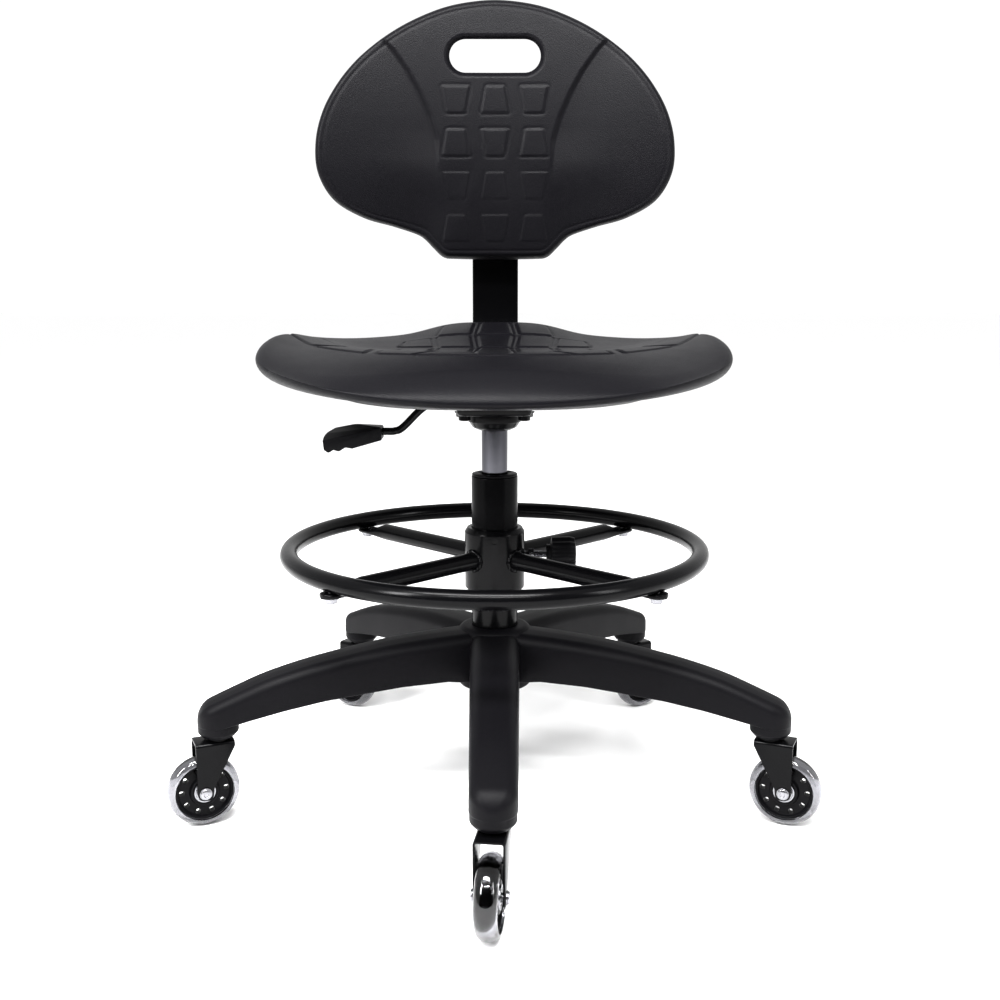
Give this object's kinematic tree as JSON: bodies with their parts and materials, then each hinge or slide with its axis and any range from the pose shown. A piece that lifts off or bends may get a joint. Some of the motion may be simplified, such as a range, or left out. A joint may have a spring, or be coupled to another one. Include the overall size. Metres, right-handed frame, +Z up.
{
  "type": "drafting chair",
  "caption": "Drafting chair with moulded seat and backrest, gas lift, adjustable foot ring, and a star base on swivel casters.",
  "frame": {"origin": "middle of the bounding box at floor level; the column axis stands 39.2 mm behind it", "axes": "+Z up along the column, -Y towards the front of the seat, +X to the right of somebody who faces the chair"},
  "size_m": [0.6764, 0.6344, 0.8823],
  "materials": {
    "nylon": "fine matte texture",
    "powder_coat": "gloss black powder coat",
    "black_plastic": "satin moulded plastic",
    "bright_steel": "zinc plated",
    "chrome": "polished",
    "polyurethane": "self-skinned moulded foam with a fine leather grain",
    "clear_tyre": "clear cast polyurethane",
    "plywood": "raw plywood"
  },
  "bodies": {
    "base": {"star_base": "nylon", "column_tube": "powder_coat", "column_bushing": "black_plastic", "rod_seat": "bright_steel", "piston_rod": "bright_steel", "caster_1_stem": "powder_coat", "caster_2_stem": "powder_coat", "caster_3_stem": "powder_coat", "caster_4_stem": "powder_coat", "caster_5_stem": "powder_coat"},
    "gas_lift": {"gas_cylinder": "chrome"},
    "valve": {"valve_pin": "bright_steel"},
    "foot_rest": {"foot_ring": "powder_coat", "ring_collar": "powder_coat", "ring_spoke_1": "powder_coat", "ring_spoke_2": "powder_coat", "ring_spoke_3": "powder_coat", "ring_spoke_4": "powder_coat", "ring_bolt_1": "bright_steel", "ring_bolt_2": "bright_steel", "ring_bolt_3": "bright_steel", "ring_bolt_4": "bright_steel"},
    "ring_knob": {"ring_knob": "black_plastic", "ring_knob_stud": "bright_steel"},
    "seat": {"seat_foam": "polyurethane", "seat_board": "plywood", "seat_plate": "powder_coat", "taper_cup": "powder_coat", "plate_bolt_1": "powder_coat", "plate_bolt_2": "powder_coat", "back_bar": "powder_coat"},
    "lever": {"lever_rod": "powder_coat", "lever_paddle": "black_plastic"},
    "backrest": {"backrest_foam": "polyurethane", "back_bracket": "black_plastic", "back_bolt_1": "bright_steel", "back_bolt_2": "bright_steel"},
    "back_knob": {"back_knob": "black_plastic", "back_knob_stud": "bright_steel"},
    "caster_1": {"caster_1_fork": "powder_coat", "caster_1_axle": "bright_steel"},
    "wheel_1": {"caster_1_core": "black_plastic", "caster_1_tyre": "clear_tyre"},
    "caster_2": {"caster_2_fork": "powder_coat", "caster_2_axle": "bright_steel"},
    "wheel_2": {"caster_2_core": "black_plastic", "caster_2_tyre": "clear_tyre"},
    "caster_3": {"caster_3_fork": "powder_coat", "caster_3_axle": "bright_steel"},
    "wheel_3": {"caster_3_core": "black_plastic", "caster_3_tyre": "clear_tyre"},
    "caster_4": {"caster_4_fork": "powder_coat", "caster_4_axle": "bright_steel"},
    "wheel_4": {"caster_4_core": "black_plastic", "caster_4_tyre": "clear_tyre"},
    "caster_5": {"caster_5_fork": "powder_coat", "caster_5_axle": "bright_steel"},
    "wheel_5": {"caster_5_core": "black_plastic", "caster_5_tyre": "clear_tyre"}
  },
  "joints": [
    {"name": "gas_lift_height", "type": "slide", "parent": "base", "child": "gas_lift", "axis": [0, 0, 1], "range_m": [-0.045, 0.095]},
    {"name": "seat_swivel", "type": "hinge", "parent": "gas_lift", "child": "seat", "pos_m": [0, 0.03915, 0.44], "axis": [0, 0, 1], "continuous": true},
    {"name": "lever_lift", "type": "hinge", "parent": "seat", "child": "lever", "pos_m": [-0.0375, 0.03915, 0.43], "axis": [0, 1, 0], "range_deg": [0, 4], "stiffness_Nm_per_rad": 3, "springref_deg": -1.15},
    {"name": "valve_pin_travel", "type": "slide", "parent": "gas_lift", "child": "valve", "axis": [0, 0, 1], "range_m": [-0.003, 0]},
    {"name": "foot_rest_height", "type": "slide", "parent": "base", "child": "foot_rest", "axis": [0, 0, 1], "range_m": [-0.025, 0.04]},
    {"name": "ring_knob_turn", "type": "hinge", "parent": "foot_rest", "child": "ring_knob", "pos_m": [0.0565, 0.03915, 0.265], "axis": [1, 0, 0], "range_deg": [0, 360]},
    {"name": "backrest_height", "type": "slide", "parent": "seat", "child": "backrest", "axis": [0, 0, 1], "range_m": [-0.04, 0.05]},
    {"name": "back_knob_turn", "type": "hinge", "parent": "backrest", "child": "back_knob", "pos_m": [0, 0.28365, 0.644], "axis": [0, 1, 0], "range_deg": [0, 360]},
    {"name": "caster_1_swivel", "type": "hinge", "parent": "base", "child": "caster_1", "pos_m": [0, -0.26185, 0.0925], "axis": [0, 0, 1], "continuous": true},
    {"name": "wheel_1_spin", "type": "hinge", "parent": "caster_1", "child": "wheel_1", "pos_m": [-0.0025, -0.27967, 0.0375], "axis": [0.9903, -0.1392, 0], "continuous": true},
    {"name": "caster_2_swivel", "type": "hinge", "parent": "base", "child": "caster_2", "pos_m": [0.28627, -0.05386, 0.0925], "axis": [0, 0, 1], "continuous": true},
    {"name": "wheel_2_spin", "type": "hinge", "parent": "caster_2", "child": "wheel_2", "pos_m": [0.30271, -0.06118, 0.0375], "axis": [0.4067, 0.9135, 0], "continuous": true},
    {"name": "caster_3_swivel", "type": "hinge", "parent": "base", "child": "caster_3", "pos_m": [0.17692, 0.28267, 0.0925], "axis": [0, 0, 1], "continuous": true},
    {"name": "wheel_3_spin", "type": "hinge", "parent": "caster_3", "child": "wheel_3", "pos_m": [0.19251, 0.29167, 0.0375], "axis": [-0.5, 0.866, 0], "continuous": true},
    {"name": "caster_4_swivel", "type": "hinge", "parent": "base", "child": "caster_4", "pos_m": [-0.17692, 0.28267, 0.0925], "axis": [0, 0, 1], "continuous": true},
    {"name": "wheel_4_spin", "type": "hinge", "parent": "caster_4", "child": "wheel_4", "pos_m": [-0.19251, 0.29167, 0.0375], "axis": [-0.5, -0.866, 0], "continuous": true},
    {"name": "caster_5_swivel", "type": "hinge", "parent": "base", "child": "caster_5", "pos_m": [-0.28627, -0.05386, 0.0925], "axis": [0, 0, 1], "continuous": true},
    {"name": "wheel_5_spin", "type": "hinge", "parent": "caster_5", "child": "wheel_5", "pos_m": [-0.30271, -0.06118, 0.0375], "axis": [0.4067, -0.9135, 0], "continuous": true}
  ],
  "couplings": [
    {"joint": "valve_pin_travel", "follows": "lever_lift", "m_per_rad": -0.038}
  ]
}
